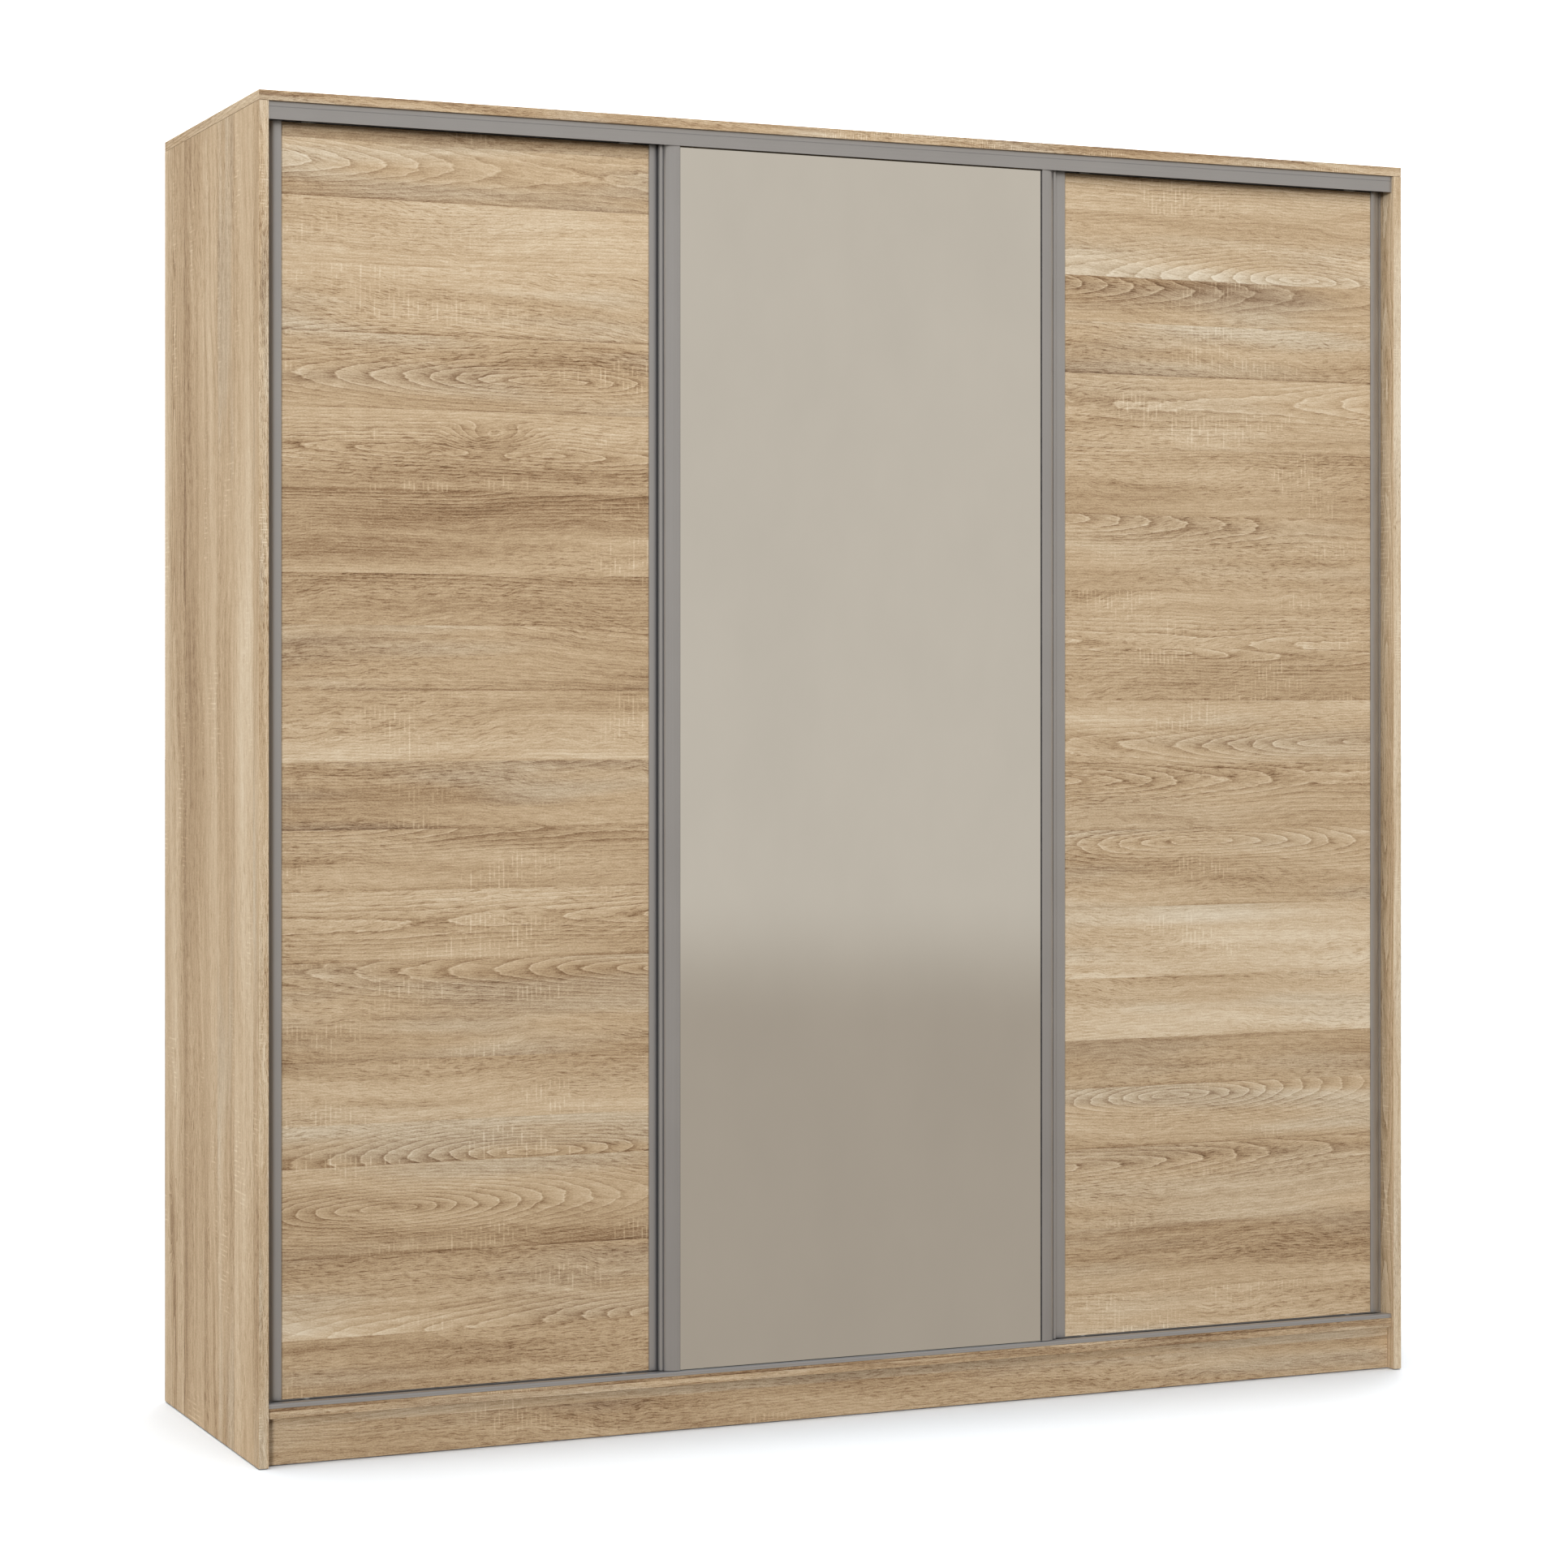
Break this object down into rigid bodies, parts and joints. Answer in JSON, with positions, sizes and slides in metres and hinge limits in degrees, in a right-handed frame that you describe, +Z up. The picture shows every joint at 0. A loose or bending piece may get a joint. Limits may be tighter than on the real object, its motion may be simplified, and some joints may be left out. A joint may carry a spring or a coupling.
{
  "type": "sliding door wardrobe",
  "caption": "Tall free-standing wardrobe with sliding doors in two lanes, oak laminate outer doors and a mirror in the middle",
  "frame": {"origin": "on the floor, under the middle of the carcass's footprint", "axes": "+X to the right seen from the front, +Y from the front to the back, +Z up"},
  "size_m": [2.1, 0.6, 2.15],
  "materials": {
    "oak_laminate": "light oak grain printed laminate on chipboard, satin",
    "white_backboard": "thin hardboard, white lacquer, matt",
    "satin_aluminium": "satin anodised",
    "mirror_glass": "silvered glass",
    "chromed_steel": "polished",
    "zinc_steel": "zinc plated",
    "nylon": "moulded nylon",
    "dark_plastic": "moulded plastic"
  },
  "bodies": {
    "carcass": {"back_panel_centre": "white_backboard", "back_panel_left": "white_backboard", "back_panel_right": "white_backboard", "bottom_panel": "oak_laminate", "bottom_track": "satin_aluminium", "centre_shelf_1": "oak_laminate", "centre_shelf_2": "oak_laminate", "centre_shelf_3": "oak_laminate", "centre_shelf_4": "oak_laminate", "left_hanging_rail": "chromed_steel", "left_hat_shelf": "oak_laminate", "left_rail_cup_a": "zinc_steel", "left_rail_cup_b": "zinc_steel", "left_side_panel": "oak_laminate", "partition_left": "oak_laminate", "partition_right": "oak_laminate", "plinth_front": "oak_laminate", "plinth_rear": "oak_laminate", "right_hanging_rail": "chromed_steel", "right_hat_shelf": "oak_laminate", "right_rail_cup_a": "zinc_steel", "right_rail_cup_b": "zinc_steel", "right_side_panel": "oak_laminate", "top_panel": "oak_laminate", "top_track": "satin_aluminium"},
    "left_door": {"left_door_guide_bracket_left": "zinc_steel", "left_door_guide_bracket_right": "zinc_steel", "left_door_panel": "oak_laminate", "left_door_runner_left": "dark_plastic", "left_door_runner_right": "dark_plastic", "left_door_stile_left": "satin_aluminium", "left_door_stile_right": "satin_aluminium"},
    "left_door_wheel_left": {"left_door_wheel_left": "nylon"},
    "left_door_guide_roller_left": {"left_door_guide_roller_left": "nylon"},
    "left_door_wheel_right": {"left_door_wheel_right": "nylon"},
    "left_door_guide_roller_right": {"left_door_guide_roller_right": "nylon"},
    "centre_door": {"centre_door_backing_board": "oak_laminate", "centre_door_guide_bracket_left": "zinc_steel", "centre_door_guide_bracket_right": "zinc_steel", "centre_door_mirror": "mirror_glass", "centre_door_runner_left": "dark_plastic", "centre_door_runner_right": "dark_plastic", "centre_door_stile_left": "satin_aluminium", "centre_door_stile_right": "satin_aluminium"},
    "centre_door_wheel_left": {"centre_door_wheel_left": "nylon"},
    "centre_door_guide_roller_left": {"centre_door_guide_roller_left": "nylon"},
    "centre_door_wheel_right": {"centre_door_wheel_right": "nylon"},
    "centre_door_guide_roller_right": {"centre_door_guide_roller_right": "nylon"},
    "right_door": {"right_door_guide_bracket_left": "zinc_steel", "right_door_guide_bracket_right": "zinc_steel", "right_door_panel": "oak_laminate", "right_door_runner_left": "dark_plastic", "right_door_runner_right": "dark_plastic", "right_door_stile_left": "satin_aluminium", "right_door_stile_right": "satin_aluminium"},
    "right_door_wheel_left": {"right_door_wheel_left": "nylon"},
    "right_door_guide_roller_left": {"right_door_guide_roller_left": "nylon"},
    "right_door_wheel_right": {"right_door_wheel_right": "nylon"},
    "right_door_guide_roller_right": {"right_door_guide_roller_right": "nylon"}
  },
  "joints": [
    {"name": "left_door_slide", "type": "slide", "parent": "carcass", "child": "left_door", "axis": [1, 0, 0], "range_m": [0, 0.705]},
    {"name": "centre_door_slide", "type": "slide", "parent": "carcass", "child": "centre_door", "axis": [1, 0, 0], "range_m": [-0.663, 0.671]},
    {"name": "right_door_slide", "type": "slide", "parent": "carcass", "child": "right_door", "axis": [1, 0, 0], "range_m": [-0.705, 0]},
    {"name": "left_door_wheel_left_spin", "type": "hinge", "parent": "left_door", "child": "left_door_wheel_left", "pos_m": [-0.9613, -0.2585, 0.1087], "axis": [0, 1, 0], "continuous": true},
    {"name": "left_door_guide_left_spin", "type": "hinge", "parent": "left_door", "child": "left_door_guide_roller_left", "pos_m": [-0.9613, -0.2626, 2.116], "axis": [0, 0, 1], "continuous": true},
    {"name": "left_door_wheel_right_spin", "type": "hinge", "parent": "left_door", "child": "left_door_wheel_right", "pos_m": [-0.4253, -0.2585, 0.1087], "axis": [0, 1, 0], "continuous": true},
    {"name": "left_door_guide_right_spin", "type": "hinge", "parent": "left_door", "child": "left_door_guide_roller_right", "pos_m": [-0.4253, -0.2626, 2.116], "axis": [0, 0, 1], "continuous": true},
    {"name": "centre_door_wheel_left_spin", "type": "hinge", "parent": "centre_door", "child": "centre_door_wheel_left", "pos_m": [-0.2985, -0.2785, 0.1087], "axis": [0, 1, 0], "continuous": true},
    {"name": "centre_door_guide_left_spin", "type": "hinge", "parent": "centre_door", "child": "centre_door_guide_roller_left", "pos_m": [-0.2985, -0.2826, 2.116], "axis": [0, 0, 1], "continuous": true},
    {"name": "centre_door_wheel_right_spin", "type": "hinge", "parent": "centre_door", "child": "centre_door_wheel_right", "pos_m": [0.2905, -0.2785, 0.1087], "axis": [0, 1, 0], "continuous": true},
    {"name": "centre_door_guide_right_spin", "type": "hinge", "parent": "centre_door", "child": "centre_door_guide_roller_right", "pos_m": [0.2905, -0.2826, 2.116], "axis": [0, 0, 1], "continuous": true},
    {"name": "right_door_wheel_left_spin", "type": "hinge", "parent": "right_door", "child": "right_door_wheel_left", "pos_m": [0.4253, -0.2585, 0.1087], "axis": [0, 1, 0], "continuous": true},
    {"name": "right_door_guide_left_spin", "type": "hinge", "parent": "right_door", "child": "right_door_guide_roller_left", "pos_m": [0.4253, -0.2626, 2.116], "axis": [0, 0, 1], "continuous": true},
    {"name": "right_door_wheel_right_spin", "type": "hinge", "parent": "right_door", "child": "right_door_wheel_right", "pos_m": [0.9613, -0.2585, 0.1087], "axis": [0, 1, 0], "continuous": true},
    {"name": "right_door_guide_right_spin", "type": "hinge", "parent": "right_door", "child": "right_door_guide_roller_right", "pos_m": [0.9613, -0.2626, 2.116], "axis": [0, 0, 1], "continuous": true}
  ],
  "couplings": [
    {"joint": "left_door_wheel_left_spin", "follows": "left_door_slide", "rad_per_m": 95.238},
    {"joint": "left_door_wheel_right_spin", "follows": "left_door_slide", "rad_per_m": 95.238},
    {"joint": "centre_door_wheel_left_spin", "follows": "centre_door_slide", "rad_per_m": 95.238},
    {"joint": "centre_door_wheel_right_spin", "follows": "centre_door_slide", "rad_per_m": 95.238},
    {"joint": "right_door_wheel_left_spin", "follows": "right_door_slide", "rad_per_m": 95.238},
    {"joint": "right_door_wheel_right_spin", "follows": "right_door_slide", "rad_per_m": 95.238}
  ]
}
